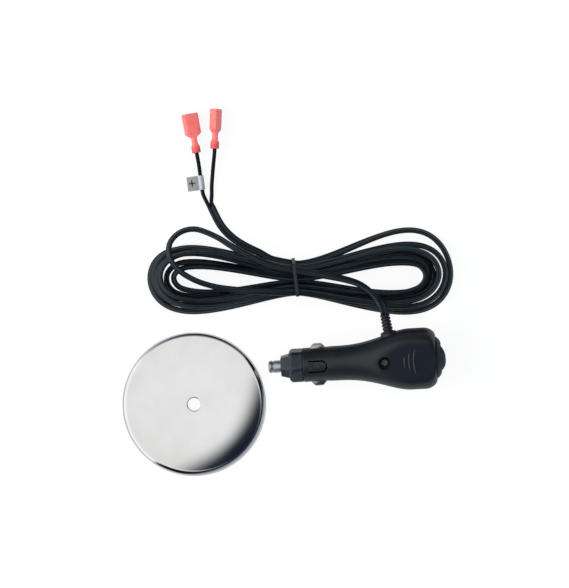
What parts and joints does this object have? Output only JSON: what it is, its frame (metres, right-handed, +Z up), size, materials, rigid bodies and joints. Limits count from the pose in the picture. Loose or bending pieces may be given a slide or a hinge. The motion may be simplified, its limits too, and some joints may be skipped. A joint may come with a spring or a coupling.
{
  "type": "signal booster vehicle power lead",
  "caption": "Vehicle power lead of a signal booster: 12 V plug with rear rocker switch, tied hank of flat twin cord with insulated tab terminals, and a loose round steel plate.",
  "frame": {"origin": "on the table surface, at the centre of the round plate, straight below its centre hole", "axes": "+Z up from the table along the plate's axis; +X from the plate towards the rear of the plug; +Y from the plug towards the hank and the terminals"},
  "size_m": [0.2012, 0.2223, 0.0297],
  "materials": {
    "shell_plastic": "moulded, fine satin texture",
    "cap_plastic": "moulded, satin",
    "tip_metal": "nickel plated, turned",
    "contact_metal": "nickel plated strip",
    "fuse_glass": "clear tube",
    "fuse_metal": "nickel plated",
    "spring_steel": "drawn wire",
    "terminal_brass": "bare stamped sheet",
    "screw_steel": "black oxide",
    "relief_rubber": "soft moulded",
    "switch_plastic": "moulded",
    "rocker_plastic": "moulded",
    "lead_insulation": "wire insulation",
    "cord_jacket": "soft vinyl jacket, satin",
    "terminal_nylon": "translucent coral nylon",
    "flag_label": "wrapped film label",
    "tie_plastic": "thin coated tie",
    "plate_steel": "polished, pressed sheet"
  },
  "bodies": {
    "lead": {"upper_shell": "shell_plastic", "lower_shell": "shell_plastic", "housing_screw": "screw_steel", "strain_relief": "relief_rubber", "switch_body": "switch_plastic", "switch_blades": "terminal_brass", "spring_seat": "terminal_brass", "tip_spring": "spring_steel", "inner_leads": "lead_insulation", "cord_lead": "cord_jacket", "cord_hank": "cord_jacket", "cord_tail": "cord_jacket", "positive_wire": "cord_jacket", "negative_wire": "cord_jacket", "positive_sleeve": "terminal_nylon", "negative_sleeve": "terminal_nylon", "positive_receptacle": "terminal_brass", "negative_receptacle": "terminal_brass", "polarity_flag": "flag_label", "hank_tie": "tie_plastic"},
    "nose": {"nose_cap": "cap_plastic"},
    "tip": {"center_tip": "tip_metal", "fuse_tube": "fuse_glass", "fuse_caps": "fuse_metal", "fuse_element": "fuse_metal"},
    "contact_left": {"side_contact_left": "contact_metal"},
    "contact_right": {"side_contact_right": "contact_metal"},
    "rocker": {"switch_rocker": "rocker_plastic"},
    "plate": {"steel_plate": "plate_steel"}
  },
  "joints": [
    {"name": "nose_turn", "type": "hinge", "parent": "lead", "child": "nose", "pos_m": [0.06004, 0.02356, 0.01033], "axis": [-0.9962, -0.0574, -0.0655], "continuous": true},
    {"name": "tip_push", "type": "slide", "parent": "lead", "child": "tip", "axis": [0.9962, 0.0574, 0.0655], "range_m": [0, 0.003], "stiffness_N_per_m": 800, "springref_m": -0.004, "deforming": ["tip_spring"]},
    {"name": "contact_left_press", "type": "slide", "parent": "lead", "child": "contact_left", "axis": [0.0661, -0.9881, -0.1389], "range_m": [0, 0.0024], "stiffness_N_per_m": 1200, "springref_m": -0.001},
    {"name": "contact_right_press", "type": "slide", "parent": "lead", "child": "contact_right", "axis": [-0.0661, 0.9881, 0.1389], "range_m": [0, 0.0024], "stiffness_N_per_m": 1200, "springref_m": -0.001},
    {"name": "rocker_tilt", "type": "hinge", "parent": "lead", "child": "rocker", "pos_m": [0.14651, 0.02855, 0.01601], "axis": [0.0661, -0.9881, -0.1389], "range_deg": [0, 25]},
    {"name": "plate_lift", "type": "slide", "parent": "lead", "child": "plate", "axis": [0, 0, 1], "range_m": [0, 0.06]}
  ]
}
